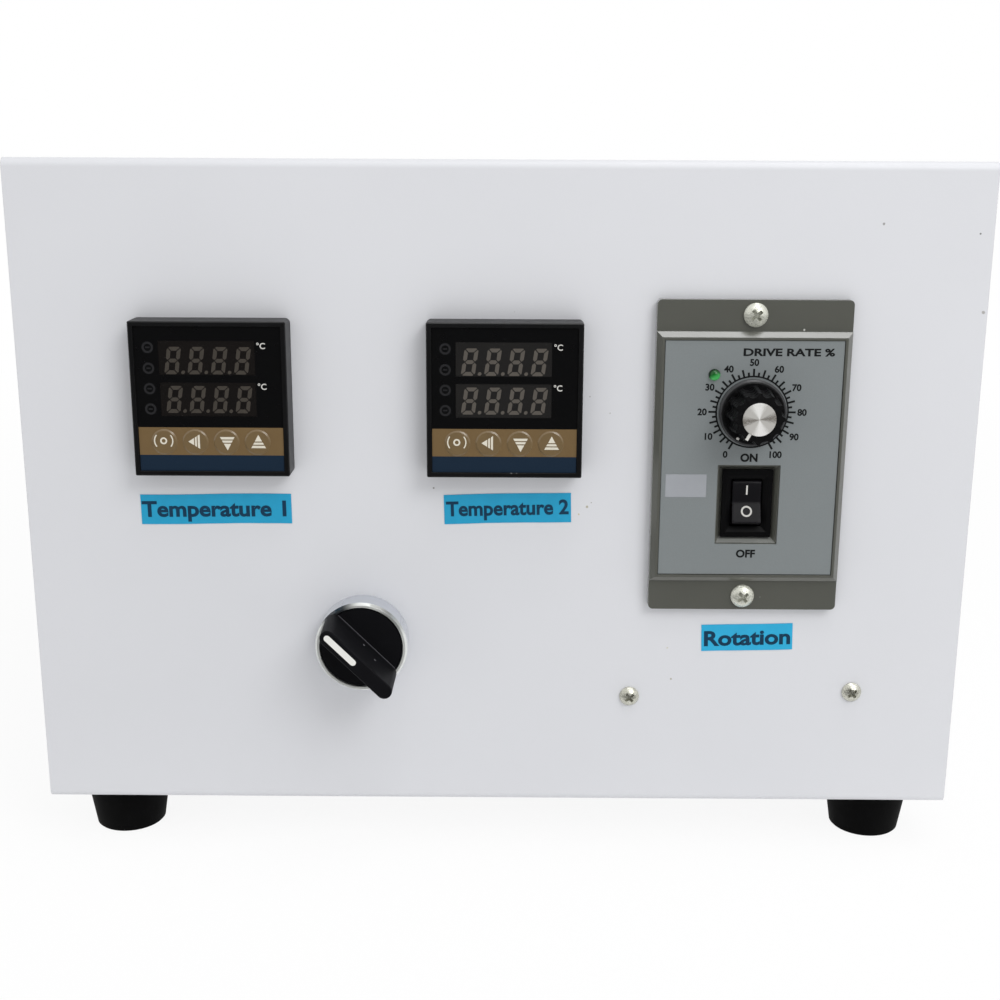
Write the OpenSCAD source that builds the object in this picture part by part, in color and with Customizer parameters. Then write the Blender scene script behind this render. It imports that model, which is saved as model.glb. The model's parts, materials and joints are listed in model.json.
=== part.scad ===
// Control box of a bench-top single screw extruder.
// The front panel faces -Y, +Z is up and the feet stand on z = 0.
// The origin lies on the floor under the middle of the whole object.

/* [Case] */
// Width of the case
case_w = 300; // [290:1:360]
// Height of the case without its feet
case_h = 209; // [200:1:260]
// Depth from the front panel to the back of the rear cover
case_d = 220; // [180:1:320]
// Thickness of the sheet metal
sheet_t = 1.2; // [0.8:0.1:2]
// Outside radius of the folds
fold_r = 2.6; // [2.2:0.1:4]
// Height of the lips that the rear cover is screwed to
lip_h = 14; // [12:1:20]
// Width of the flanges of a side plate
flange_w = 12; // [8:1:18]
// Open seam between the folded sheet and a side plate
seam = 0.3; // [0.1:0.05:0.6]
// Room round an instrument in its cut-out
cutout_gap = 0.4; // [0.2:0.1:0.8]

/* [Feet] */
// Height of a rubber foot
foot_h = 17; // [12:0.5:25]
// Diameter of a foot under the case
foot_top_d = 28.4; // [24:0.1:36]
// Diameter of a foot on the floor
foot_bottom_d = 23.2; // [18:0.1:24]
// Chamfer round the lower edge of a foot
foot_edge = 0.5; // [0.2:0.1:3]
// From the side of the case to a foot's axis
foot_side_inset = 21; // [19:0.5:40]
// From the front or the back of the case to a foot's axis
foot_end_inset = 20; // [19:0.5:40]
// Diameter of the screw recess under a foot
foot_recess_d = 10; // [6:0.5:12]
// Depth of the screw recess under a foot
foot_recess_depth = 8; // [4:0.5:10]

/* [Temperature controllers] */
// Side of the square front of a controller
ctrl_w = 48; // [47:0.1:52]
// How far a controller stands out of the panel
ctrl_proud = 8.1; // [5:0.1:12]
// How far the front laps over the case behind the panel
ctrl_lap = 1.7; // [1.2:0.1:4]
// Length of the case behind the panel
ctrl_back_l = 78; // [50:1:110]
// How far each side leans in from the panel to the front
ctrl_draft = 0.3; // [0:0.1:1]
// Corner radius of the front
ctrl_corner_r = 1.6; // [0.6:0.1:2]
// Bevel round the front
ctrl_bevel = 0.3; // [0.2:0.1:0.6]
// Width of the rim round the face
ctrl_rim = 1.2; // [0.4:0.1:1.6]
// Thickness of the face
face_t = 0.8; // [0.5:0.1:1.5]
// How far the face lies below the rim
face_sink = 0.4; // [0.2:0.1:0.8]
// From the left side of the case to the left controller's axis
left_ctrl_inset = 61.3; // [45:0.1:80]
// Middle controller, as a share of the free width between its neighbours
middle_ctrl_share = 0.654; // [0.3:0.001:0.9]
// Both controllers, above the lower edge of the panel
ctrl_z = 137; // [120:0.1:150]
// From the left edge of the front to the display windows
window_left = 9; // [7:0.1:12]
// From the display windows to the right edge of the front
window_right = 9.6; // [7:0.1:14]
// From the top edge of the front to the upper window
window_top = 5.9; // [4:0.1:8]
// From the upper window to the lower
window_gap = 2.3; // [1:0.1:4]
// From the lower window to the bottom edge of the front
window_bottom = 18.8; // [17:0.1:20]
// From the left edge of the front to the first key's axis
key_left = 9.5; // [7:0.1:11]
// From the last key's axis to the right edge of the front
key_right = 9.7; // [7:0.1:11]
// From the keys' axes to the bottom edge of the front
key_bottom = 10.7; // [8:0.1:12]
// Free width between two keys
key_spacing = 1.5; // [1.2:0.1:4]
// Rise of a key above the face
key_rise = 0.3; // [0.2:0.05:0.6]
// Width of the slope round a key's raised top
key_slope = 0.5; // [0.2:0.05:0.8]

/* [Speed unit] */
// Width of the moulding
unit_w = 60; // [58:0.5:66]
// Height of the raised middle
unit_body_h = 79.6; // [78:0.1:90]
// Height of a screw flange above or below the raised middle
unit_flange_h = 9.7; // [9:0.1:14]
// Screws across their flanges, as a share of the flange's height
unit_screw_share = 0.526; // [0.45:0.001:0.55]
// Thickness of the screw flanges
unit_flange_t = 3; // [2.5:0.1:4]
// How far the raised middle stands out of the panel
unit_proud = 5; // [4.8:0.1:7]
// Bevel round the raised middle
unit_bevel = 1.6; // [0.8:0.1:1.8]
// Width of the rim round the faceplate
unit_rim = 0.8; // [0.6:0.1:2]
// Corner radius of the moulding
unit_corner_r = 1.5; // [0.5:0.1:3]
// How far the moulding laps over the housing behind the panel
unit_lap = 3.2; // [2:0.1:6]
// Length of the housing behind the panel
unit_back_l = 34; // [25:0.5:60]
// From the right side of the case to the speed unit's middle
unit_inset = 71.6; // [50:0.1:80]
// Speed unit, above the lower edge of the panel
unit_z = 118.4; // [110:0.1:140]
// Thickness of the faceplate
plate_t = 0.5; // [0.3:0.1:0.8]
// How far the faceplate lies below its rim
plate_sink = 0.3; // [0.1:0.1:0.6]
// Room round the faceplate
plate_gap = 0.2; // [0.1:0.05:0.4]
// Diameter of the lamp
lamp_d = 3.6; // [3:0.1:5]
// Lamp, left of the dial's axis
lamp_left = 12.1; // [12:0.1:16]
// Lamp, above the dial's axis
lamp_up = 11.6; // [8:0.1:14]

/* [Speed knob] */
// Dial's axis above the unit's middle, as a share of the raised middle's height
dial_share = 0.19; // [0.17:0.005:0.22]
// Diameter of the skirt
skirt_d = 20.8; // [19:0.1:23]
// Height of the skirt
skirt_h = 2.4; // [1.5:0.1:3.5]
// Bevel round the skirt
skirt_bevel = 1; // [0.4:0.1:1.2]
// Height of the knob
knob_h = 12.4; // [11:0.1:16]
// Width of the ledge between the skirt's edge and the grip
skirt_ledge = 1.7; // [1.2:0.1:3]
// How far the grip leans in from its foot to its top
grip_taper = 0.8; // [0.5:0.1:2.5]
// Number of flutes round the grip
flute_count = 12; // [8:1:18]
// Diameter of a flute
flute_d = 3.6; // [2.5:0.1:4]
// Depth of a flute at the foot of the grip
flute_depth = 1.1; // [0.5:0.1:1.3]
// Width of the rim round the metal cap
cap_rim = 2.85; // [2:0.05:3.5]
// Thickness of the metal cap
cap_t = 1.4; // [1:0.1:2]
// How far the metal cap stands out of the grip
cap_proud = 0.3; // [0.1:0.1:0.6]
// Diameter of the turning shaft
shaft_d = 6; // [5:0.1:6.5]
// Wall of the shaft's bush
bush_wall = 1.45; // [1:0.05:2]
// How far the bush stands out of the faceplate
bush_proud = 1; // [0.5:0.1:1.5]
// Plastic between the shaft's end and the metal cap
shaft_cover = 2; // [1:0.1:4]
// Gap under the skirt
skirt_gap = 0.5; // [0.3:0.1:1]
// Turn from the lowest to the highest speed, in degrees
dial_sweep = 300; // [240:1:320]

/* [Rocker switch] */
// Switch's axis below the unit's middle, as a share of the raised middle's height
rocker_share = 0.182; // [0.16:0.002:0.22]
// Room round the switch's frame on the pocket's floor
pocket_gap = 0.25; // [0.1:0.05:0.6]
// Depth of the pocket
pocket_depth = 3.4; // [2.5:0.1:3.6]
// How far the pocket's walls slope inwards
pocket_slope = 1.7; // [0.5:0.1:1.8]
// How far the switch's frame laps over its body
frame_lap = 1.35; // [1:0.05:2]
// Thickness of the switch's frame
frame_t = 1.6; // [1.2:0.1:2]
// How far the inside of the frame slopes
frame_slope = 1.6; // [0.8:0.1:1.7]
// Depth of the slope inside the frame
frame_slope_depth = 1.2; // [0.6:0.1:1.4]
// Wall of the switch's body beside the paddle
switch_wall = 1.6; // [1.4:0.1:2.5]
// Wall of the switch's body above and below the paddle
switch_end_wall = 1.9; // [1.2:0.1:3]
// Length of the switch's body behind the frame
switch_l = 12; // [8:0.5:20]
// Width of the paddle
paddle_w = 9; // [8:0.1:9.4]
// Radius of the paddle's ends about its pivot
paddle_r = 7.2; // [6.5:0.1:7.6]
// Paddle's pivot, below the front of the frame
pivot_depth = 2.6; // [2.4:0.1:3]
// Lowest line of the paddle's face, above its pivot
paddle_rise = 2; // [1.5:0.1:2.4]
// Back of the paddle, below its pivot
paddle_back = 3; // [2:0.1:3.5]
// Lean of the paddle to either side, in degrees
paddle_lean = 10; // [6:0.5:12]
// Diameter of the paddle's pivot pins
pivot_d = 1.8; // [1.4:0.1:2]
// Length of a pivot pin in the frame
pivot_l = 1.1; // [0.8:0.1:1.2]

/* [Selector switch] */
// From the left side of the case to the selector's axis
selector_inset = 106.4; // [80:0.1:120]
// Selector, above the lower edge of the panel
selector_z = 57.2; // [45:0.1:70]
// How far the collar laps over its hole in the panel
collar_lap = 3.8; // [3:0.1:6]
// How far the collar's front slopes in
collar_slope_w = 0.65; // [0.3:0.05:1]
// Width of the collar's front rim
collar_rim = 0.75; // [0.5:0.05:1.2]
// How far the collar stands out of the panel
collar_proud = 9; // [6:0.1:10]
// Height of the collar's sloping front
collar_slope_h = 1; // [0.5:0.1:2]
// Thickness of the collar's back
collar_back_t = 2; // [1:0.1:3]
// How far the disc lies below the collar's rim
disc_sink = 0.4; // [0:0.1:1]
// How far the lever stands out of the panel
lever_reach = 25; // [20:0.1:30]
// Length of the lever's ridge
lever_l = 29.2; // [24:0.1:32]
// Width of the lever's foot
lever_foot_w = 5.4; // [4.5:0.1:10]
// Width of the lever's ridge
lever_w = 5; // [4.5:0.1:7.5]
// Bevel round the ridge
lever_bevel = 0.3; // [0.2:0.1:1]
// Length of the white mark
mark_l = 13; // [8:0.1:15]
// Width of the white mark
mark_w = 2; // [1:0.1:2.4]
// Depth of the white mark in the ridge
mark_t = 0.8; // [0.4:0.1:1.5]
// From the lever's tip to the mark
mark_inset = 1.3; // [1:0.1:3]
// Diameter of the threaded barrel in the panel
barrel_d = 22; // [20:0.1:24]
// Length of the barrel behind the panel
barrel_l = 26; // [15:0.5:40]
// Diameter of the selector's shaft
selector_shaft_d = 8; // [6:0.1:12]
// Wall of the ring nut behind the panel
nut_wall = 3; // [2:0.1:5]
// Thickness of the ring nut
nut_t = 4; // [2:0.1:6]
// Turn between the two positions, in degrees
selector_throw = 90; // [60:1:90]

/* [Screws] */
// From the right side of the case to the left panel screw
left_screw_inset = 106.6; // [80:0.1:130]
// Left panel screw, above the lower edge of the panel
left_screw_z = 37.7; // [20:0.1:50]
// From the right side of the case to the right panel screw
right_screw_inset = 33.6; // [20:0.1:60]
// Right panel screw, above the lower edge of the panel
right_screw_z = 39.6; // [20:0.1:50]
// Head diameter of the panel and cover screws
small_head_d = 6.4; // [5:0.1:7]
// Head height of the panel and cover screws
small_head_h = 2.2; // [1.5:0.1:3]
// Shank diameter of the panel and cover screws
small_shank_d = 3; // [2.5:0.1:3.5]
// Head diameter of the speed unit's and the feet's screws
large_head_d = 7.4; // [6.5:0.1:8]
// Head height of the speed unit's and the feet's screws
large_head_h = 2.6; // [2:0.1:3.2]
// Shank diameter of the speed unit's and the feet's screws
large_shank_d = 4; // [3:0.1:4.5]
// Shank that shows behind what a screw holds
shank_end = 4; // [2:0.5:10]

/* [Rear cover] */
// Number of vent slots
vent_count = 14; // [4:1:18]
// Width of a vent slot
vent_w = 3.6; // [2:0.1:5]
// Length of a vent slot
vent_l = 60; // [30:1:80]
// From slot to slot
vent_pitch = 12; // [8:0.5:13]
// Middle of the slots, above the lower edge of the panel
vent_z = 140; // [120:1:150]
// Cable glands, from the middle of the cover
gland_x = 70; // [40:1:110]
// Cable glands, above the lower edge of the panel
gland_z = 45; // [35:1:70]
// Diameter of the hole for a cable
gland_bore_d = 10; // [6:0.1:12]
// Wall of a gland's thread round its hole
gland_wall = 4.3; // [3:0.1:6]
// How far a gland's cap stands out round its thread
gland_cap_wall = 1.7; // [0.8:0.1:3]
// How far the flats of a gland's hexagon stand out round its cap
gland_flat_step = 0.5; // [0.2:0.1:2]
// Thickness of a gland's hexagon
gland_hex_t = 5; // [3:0.1:8]
// Length of a gland's cap
gland_cap_l = 14; // [10:0.5:20]
// Rounding of a gland's cap
gland_cap_r = 4; // [1:0.1:5]
// Thickness of a gland's nut inside the cover
gland_nut_t = 4; // [3:0.1:6]

/* [Hidden] */
$fn = 64;

// Cuts run past the faces they open by this much
overrun = 1;
// Radial clearance of a shaft in its bush
turn_gap = 0.05;
// Clearance round pieces that swing or turn
free_gap = 0.4;
// How far the lever's neck goes into the disc and the lever, and stays inside the disc's edge
neck_lap = 0.1;
// Turn of the screw recesses, in degrees
recess_turn = 38;
// Screw recesses as shares of the head they are cut in
recess_l_share = 0.52;
recess_w_share = 0.14;
recess_depth_share = 0.6;
// Rounded part of a screw head as a share of its height
head_round_share = 0.75;

// Places along Y
gland_reach = gland_hex_t + gland_cap_l;
case_y = (lever_reach - gland_reach) / 2;
front_y = case_y - case_d / 2;
back_y = case_y + case_d / 2;
lip_y = back_y - sheet_t;

// Case
// From the outside of the folded sheet to the edge of a side plate
side_in = sheet_t + seam;
cover_w = case_w - 2 * seam;
left_ctrl_x = left_ctrl_inset - case_w / 2;
selector_x = selector_inset - case_w / 2;
unit_x = case_w / 2 - unit_inset;
left_screw_x = case_w / 2 - left_screw_inset;
right_screw_x = case_w / 2 - right_screw_inset;
free_w = unit_x - unit_w / 2 - left_ctrl_x - 3 * ctrl_w / 2;
middle_ctrl_x = left_ctrl_x + ctrl_w + free_w * middle_ctrl_share;
cover_h = case_h - 2 * fold_r;
cover_screw_x = case_w / 2 - flange_w - small_head_d;
cover_screw_z = cover_h / 2 - (lip_h - fold_r) / 2;

// Controllers, measured from the middle of the front
ctrl_back_w = ctrl_w - 2 * ctrl_lap;
ctrl_foot_w = ctrl_w + 2 * ctrl_draft;
face_w = ctrl_w - 2 * (ctrl_bevel + ctrl_rim);
face_z = ctrl_proud - face_sink - face_t;
window_w = ctrl_w - window_left - window_right;
window_h = (ctrl_w - window_top - window_gap - window_bottom) / 2;
window_pitch = window_h + window_gap;
window_x = (window_left - window_right) / 2;
window_y = ctrl_w / 2 - window_top - window_h / 2;
key_count = 4;
key_pitch = (ctrl_w - key_left - key_right) / (key_count - 1);
key_d = key_pitch - key_spacing;
key_x = [for (i = [0 : key_count - 1]) key_left + i * key_pitch - ctrl_w / 2];
key_y = key_bottom - ctrl_w / 2;
// How far a display lies below the face
display_sink = 0.1;

// Speed unit, measured from the middle of the unit
unit_h = unit_body_h + 2 * unit_flange_h;
dial_up = unit_body_h * dial_share;
rocker_down = unit_body_h * rocker_share;
unit_screw_y = unit_body_h / 2 + unit_flange_h * unit_screw_share;
unit_back_w = unit_w - 2 * unit_lap;
unit_back_h = unit_body_h - 2 * unit_lap;
plate_w = unit_w - 2 * (unit_bevel + unit_rim + plate_gap);
plate_h = unit_body_h - 2 * (unit_bevel + unit_rim + plate_gap);
plate_z = unit_proud - plate_sink - plate_t;
plate_front_z = unit_proud - plate_sink;

// Speed knob
grip_h = knob_h - skirt_h;
grip_base_d = skirt_d - 2 * skirt_ledge;
grip_top_d = grip_base_d - 2 * grip_taper;
grip_lean = atan(grip_taper / grip_h);
cap_d = grip_top_d - 2 * cap_rim;
bush_d = shaft_d + 2 * (turn_gap + bush_wall);
knob_z = plate_front_z + skirt_gap;
knob_top_z = knob_z + knob_h;
bush_top_z = plate_front_z + bush_proud;
shaft_top_z = knob_top_z - cap_t - shaft_cover;
dial_rest = dial_sweep / 2;

// Rocker switch
pocket_floor_z = unit_proud - pocket_depth;
frame_front_z = pocket_floor_z + frame_t;
pivot_z = frame_front_z - pivot_depth;
well_w = paddle_w + 2 * free_gap;
well_h = 2 * (paddle_r + free_gap);
switch_w = well_w + 2 * switch_wall;
switch_h = well_h + 2 * switch_end_wall;
frame_w = switch_w + 2 * frame_lap;
frame_h = switch_h + 2 * frame_lap;
pocket_w = frame_w + 2 * (pocket_slope + pocket_gap);
pocket_h = frame_h + 2 * (pocket_slope + pocket_gap);
well_floor_z = pivot_z - paddle_r;

// Selector switch
collar_d = barrel_d + 2 * collar_lap;
collar_front_d = collar_d - 2 * collar_slope_w;
cup_d = collar_front_d - 2 * collar_rim;
disc_d = cup_d - 2 * free_gap;
nut_d = barrel_d + 2 * nut_wall;
disc_front_z = collar_proud - disc_sink;
disc_back_z = collar_back_t + free_gap;
// Underside of the lever, where it reaches over the collar
lever_base_z = collar_proud + free_gap;
selector_rest = selector_throw / 2;

// Cable glands
gland_thread_d = gland_bore_d + 2 * gland_wall;
gland_cap_d = gland_thread_d + 2 * gland_cap_wall;
gland_hex_d = (gland_cap_d + 2 * gland_flat_step) / cos(180 / 6);

// Moves to a place on the front panel, with X right, Y up and Z out of the panel
module on_panel(x, z) {
    translate([x, front_y, foot_h + z]) rotate([90, 0, 0]) children();
}

// Moves to a place on the rear cover, with Z out of the cover
module on_cover(x, z) {
    translate([x, back_y, foot_h + z]) rotate([90, 0, 180]) children();
}

module on_unit() {
    on_panel(unit_x, unit_z) children();
}

module on_dial() {
    on_unit() translate([0, dial_up, 0]) children();
}

module on_rocker() {
    on_unit() translate([0, -rocker_down, 0]) children();
}

module on_selector() {
    on_panel(selector_x, selector_z) children();
}

// Rectangle with round corners
module rounded_rect(w, h, r) {
    square([w - 2 * r, h], center = true);
    square([w, h - 2 * r], center = true);
    for (x = [-1, 1], y = [-1, 1])
        translate([x * (w / 2 - r), y * (h / 2 - r)]) circle(r);
}

// Slot with round ends along Y
module slot(l, w) {
    square([w, l - w], center = true);
    for (y = [-1, 1])
        translate([0, y * (l - w) / 2]) circle(d = w);
}

// Block that stands on z = 0, with sides that lean in by a draft and a bevel round its front
module bevelled_block(w, h, d, e, draft = 0) {
    intersection() {
        rotate([90, 0, 90]) linear_extrude(w, center = true) bevelled_profile(h, d, e, draft);
        rotate([90, 0, 0]) linear_extrude(h, center = true) bevelled_profile(w, d, e, draft);
    }
}

module bevelled_profile(w, d, e, draft) {
    front_w = w - 2 * draft;
    polygon([
        [-w / 2, 0], [w / 2, 0], [front_w / 2, d - e], [front_w / 2 - e, d],
        [e - front_w / 2, d], [-front_w / 2, d - e]
    ]);
}

// Cut of a pocket below z = 0 whose walls slope inwards
module sloping_pocket(w, h, depth, slope) {
    intersection() {
        rotate([90, 0, 90]) linear_extrude(w, center = true) pocket_profile(h, depth, slope);
        rotate([90, 0, 0]) linear_extrude(h, center = true) pocket_profile(w, depth, slope);
    }
}

module pocket_profile(w, depth, slope) {
    polygon([
        [-w / 2, overrun], [w / 2, overrun], [w / 2, 0], [w / 2 - slope, -depth],
        [slope - w / 2, -depth], [-w / 2, 0]
    ]);
}

// Pan head screw on z = 0 with a cross recess
module screw(head_d, head_h, shank_d, shank_l) {
    edge_h = head_h * (1 - head_round_share);
    dome_h = head_h - edge_h;
    dome_r = (pow(head_d / 2, 2) + pow(dome_h, 2)) / (2 * dome_h);
    difference() {
        union() {
            intersection() {
                cylinder(d = head_d, h = head_h);
                translate([0, 0, head_h - dome_r]) sphere(dome_r);
            }
            translate([0, 0, -shank_l]) cylinder(d = shank_d, h = shank_l + edge_h);
        }
        for (turn = [0, 90])
            rotate([0, 0, recess_turn + turn])
                translate([0, 0, head_h])
                    cube(
                        [head_d * recess_l_share, head_d * recess_w_share, 2 * head_h * recess_depth_share],
                        center = true
                    );
    }
}

module panel_cut(w, h) {
    translate([0, 0, -sheet_t / 2])
        cube([w + 2 * cutout_gap, h + 2 * cutout_gap, sheet_t + 2 * overrun], center = true);
}

module panel_hole(d) {
    translate([0, 0, -sheet_t - overrun])
        cylinder(d = d, h = sheet_t + 2 * overrun);
}

// Top, front and bottom in one folded sheet, with two lips at the back
module folded_case() {
    l = lip_y - front_y;
    color("whitesmoke")
        difference() {
            translate([0, (front_y + lip_y) / 2, foot_h + case_h / 2])
                rotate([90, 0, 90])
                    linear_extrude(case_w, center = true)
                        difference() {
                            rounded_rect(l, case_h, fold_r);
                            rounded_rect(l - 2 * sheet_t, case_h - 2 * sheet_t, fold_r - sheet_t);
                            translate([l / 2, 0])
                                square([2 * (sheet_t + overrun), case_h - 2 * lip_h], center = true);
                        }
            for (x = [left_ctrl_x, middle_ctrl_x])
                on_panel(x, ctrl_z) panel_cut(ctrl_back_w, ctrl_back_w);
            on_unit() panel_cut(unit_back_w, unit_back_h);
            on_unit()
                for (y = [-1, 1])
                    translate([0, y * unit_screw_y, 0]) panel_hole(large_shank_d);
            on_selector() panel_hole(barrel_d);
            on_panel(left_screw_x, left_screw_z) panel_hole(small_shank_d);
            on_panel(right_screw_x, right_screw_z) panel_hole(small_shank_d);
            cover_screw_places() translate([0, 0, -sheet_t]) panel_hole(small_shank_d);
            foot_places()
                translate([0, 0, foot_h - overrun]) cylinder(d = large_shank_d, h = sheet_t + 2 * overrun);
        }
}

// Side plate set into the open side of the folded sheet, with flanges behind the front, under the top,
// on the bottom and behind the rear cover
module side_plate() {
    l = lip_y - front_y;
    rear_h = case_h - 2 * (lip_h + seam);
    color("whitesmoke") {
        translate([case_w / 2 - sheet_t, (front_y + lip_y) / 2, foot_h + case_h / 2])
            rotate([90, 0, 90])
                linear_extrude(sheet_t) {
                    rounded_rect(l - 2 * side_in, case_h - 2 * side_in, fold_r - sheet_t);
                    translate([0, -rear_h / 2]) square([l / 2, rear_h]);
                }
        translate([case_w / 2 - flange_w, 0, 0]) {
            for (z = [foot_h + sheet_t, foot_h + case_h - 2 * sheet_t])
                translate([0, front_y + fold_r, z]) cube([flange_w - sheet_t, l - 2 * fold_r, sheet_t]);
            translate([0, front_y + sheet_t, foot_h + fold_r])
                cube([flange_w - sheet_t, sheet_t, case_h - 2 * fold_r]);
            translate([0, lip_y - sheet_t, foot_h + lip_h + seam])
                cube([flange_w - sheet_t, sheet_t, rear_h]);
        }
    }
}

module right_side_plate() {
    side_plate();
}

module left_side_plate() {
    mirror([1, 0, 0]) side_plate();
}

module cover_screw_places() {
    for (x = [-1, 0, 1], z = [-1, 1])
        on_cover(x * cover_screw_x, case_h / 2 + z * cover_screw_z) children();
}

module gland_places() {
    for (x = [-gland_x, gland_x])
        on_cover(x, gland_z) children();
}

module rear_cover() {
    color("whitesmoke")
        difference() {
            on_cover(0, case_h / 2)
                translate([0, 0, -sheet_t / 2]) cube([cover_w, cover_h, sheet_t], center = true);
            for (i = [0 : vent_count - 1])
                on_cover((i - (vent_count - 1) / 2) * vent_pitch, vent_z)
                    translate([0, 0, -sheet_t - overrun])
                        linear_extrude(sheet_t + 2 * overrun) slot(vent_l, vent_w);
            gland_places() panel_hole(gland_thread_d);
            cover_screw_places() panel_hole(small_shank_d);
        }
}

module rear_cover_screws() {
    color("silver")
        cover_screw_places() screw(small_head_d, small_head_h, small_shank_d, 2 * sheet_t + shank_end);
}

// Conical rubber foot, bored for its screw
module foot() {
    color("#1a1a1a")
        difference() {
            rotate_extrude()
                polygon([
                    [0, 0], [foot_bottom_d / 2 - foot_edge, 0], [foot_bottom_d / 2, foot_edge],
                    [foot_top_d / 2, foot_h], [0, foot_h]
                ]);
            translate([0, 0, -overrun]) cylinder(d = foot_recess_d, h = foot_recess_depth + overrun);
            translate([0, 0, -overrun]) cylinder(d = large_shank_d, h = foot_h + 2 * overrun);
        }
}

module foot_place(side, end) {
    translate([
        side * (case_w / 2 - foot_side_inset),
        case_y + end * (case_d / 2 - foot_end_inset),
        0
    ]) children();
}

module foot_places() {
    for (side = [-1, 1], end = [-1, 1])
        foot_place(side, end) children();
}

module front_left_foot() {
    foot_place(-1, -1) foot();
}

module front_right_foot() {
    foot_place(1, -1) foot();
}

module rear_left_foot() {
    foot_place(-1, 1) foot();
}

module rear_right_foot() {
    foot_place(1, 1) foot();
}

// Screws that hold the feet, with their heads up the feet's recesses
module foot_screws() {
    color("silver")
        foot_places()
            translate([0, 0, foot_recess_depth])
                rotate([180, 0, 0])
                    screw(
                        large_head_d, large_head_h, large_shank_d,
                        foot_h - foot_recess_depth + sheet_t + shank_end
                    );
}

// Controller's square front with a recess for the face, and the case behind the panel
module controller_case() {
    color("#18191b")
        difference() {
            union() {
                intersection() {
                    bevelled_block(ctrl_foot_w, ctrl_foot_w, ctrl_proud, ctrl_bevel, ctrl_draft);
                    linear_extrude(ctrl_proud) rounded_rect(ctrl_foot_w, ctrl_foot_w, ctrl_corner_r);
                }
                translate([0, 0, -ctrl_back_l / 2])
                    cube([ctrl_back_w, ctrl_back_w, ctrl_back_l], center = true);
            }
            translate([0, 0, face_z + ctrl_proud / 2])
                cube([face_w, face_w, ctrl_proud], center = true);
        }
}

// Face with openings for two displays and four keys
module controller_face() {
    color("#101114")
        difference() {
            translate([0, 0, face_z]) linear_extrude(face_t) square(face_w, center = true);
            for (i = [0, 1])
                translate([window_x, window_y - i * window_pitch, face_z - overrun])
                    linear_extrude(face_t + 2 * overrun) square([window_w, window_h], center = true);
            for (x = key_x)
                translate([x, key_y, face_z - overrun])
                    cylinder(d = key_d, h = face_t + 2 * overrun);
        }
}

module controller_display() {
    color("#26262a")
        for (i = [0, 1])
            translate([window_x, window_y - i * window_pitch, face_z])
                linear_extrude(face_t - display_sink) square([window_w, window_h], center = true);
}

// Keys with a slope round their raised tops
module controller_keys() {
    color("#8a6d42")
        for (x = key_x)
            translate([x, key_y, face_z])
                rotate_extrude()
                    polygon([
                        [0, 0], [key_d / 2, 0], [key_d / 2, face_t],
                        [key_d / 2 - key_slope, face_t + key_rise], [0, face_t + key_rise]
                    ]);
}

module left_controller_case() {
    on_panel(left_ctrl_x, ctrl_z) controller_case();
}

module left_controller_face() {
    on_panel(left_ctrl_x, ctrl_z) controller_face();
}

module left_controller_display() {
    on_panel(left_ctrl_x, ctrl_z) controller_display();
}

module left_controller_keys() {
    on_panel(left_ctrl_x, ctrl_z) controller_keys();
}

module middle_controller_case() {
    on_panel(middle_ctrl_x, ctrl_z) controller_case();
}

module middle_controller_face() {
    on_panel(middle_ctrl_x, ctrl_z) controller_face();
}

module middle_controller_display() {
    on_panel(middle_ctrl_x, ctrl_z) controller_display();
}

module middle_controller_keys() {
    on_panel(middle_ctrl_x, ctrl_z) controller_keys();
}

// Grey moulding with screw flanges, a raised middle, a pocket for the switch and a bored housing
module speed_unit_body() {
    color("#6c6d68")
        on_unit()
            difference() {
                union() {
                    intersection() {
                        union() {
                            linear_extrude(unit_flange_t) square([unit_w, unit_h], center = true);
                            bevelled_block(unit_w, unit_body_h, unit_proud, unit_bevel);
                        }
                        linear_extrude(unit_proud) rounded_rect(unit_w, unit_h, unit_corner_r);
                    }
                    translate([0, 0, -unit_back_l / 2])
                        cube([unit_back_w, unit_back_h, unit_back_l], center = true);
                }
                translate([0, 0, plate_z])
                    linear_extrude(unit_proud)
                        square([plate_w + 2 * plate_gap, plate_h + 2 * plate_gap], center = true);
                translate([0, dial_up, -unit_back_l - overrun])
                    cylinder(d = bush_d, h = unit_back_l + unit_proud + 2 * overrun);
                translate([-lamp_left, dial_up + lamp_up, 0]) cylinder(d = lamp_d, h = unit_proud);
                translate([0, -rocker_down, unit_proud])
                    sloping_pocket(pocket_w, pocket_h, pocket_depth, pocket_slope);
                translate([0, -rocker_down, pocket_floor_z - switch_l])
                    linear_extrude(switch_l + overrun) square([switch_w, switch_h], center = true);
                for (y = [-1, 1])
                    translate([0, y * unit_screw_y, -overrun])
                        cylinder(d = large_shank_d, h = unit_flange_t + 2 * overrun);
            }
}

module speed_unit_faceplate() {
    color("#858b8c")
        on_unit()
            difference() {
                translate([0, 0, plate_z]) linear_extrude(plate_t) square([plate_w, plate_h], center = true);
                translate([0, dial_up, plate_z - overrun])
                    cylinder(d = bush_d, h = plate_t + 2 * overrun);
                translate([-lamp_left, dial_up + lamp_up, plate_z - overrun])
                    cylinder(d = lamp_d, h = plate_t + 2 * overrun);
                translate([0, -rocker_down, plate_z - overrun])
                    linear_extrude(plate_t + 2 * overrun) square([pocket_w, pocket_h], center = true);
            }
}

module speed_unit_screws() {
    color("silver")
        on_unit()
            for (y = [-1, 1])
                translate([0, y * unit_screw_y, unit_flange_t])
                    screw(large_head_d, large_head_h, large_shank_d, unit_flange_t + sheet_t + shank_end);
}

// Round lamp with a domed end
module speed_lamp() {
    color("#1f9a46")
        on_dial()
            translate([-lamp_left, lamp_up, 0]) {
                cylinder(d = lamp_d, h = plate_front_z);
                translate([0, 0, plate_front_z])
                    intersection() {
                        sphere(d = lamp_d);
                        cylinder(d = lamp_d, h = lamp_d);
                    }
            }
}

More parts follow.
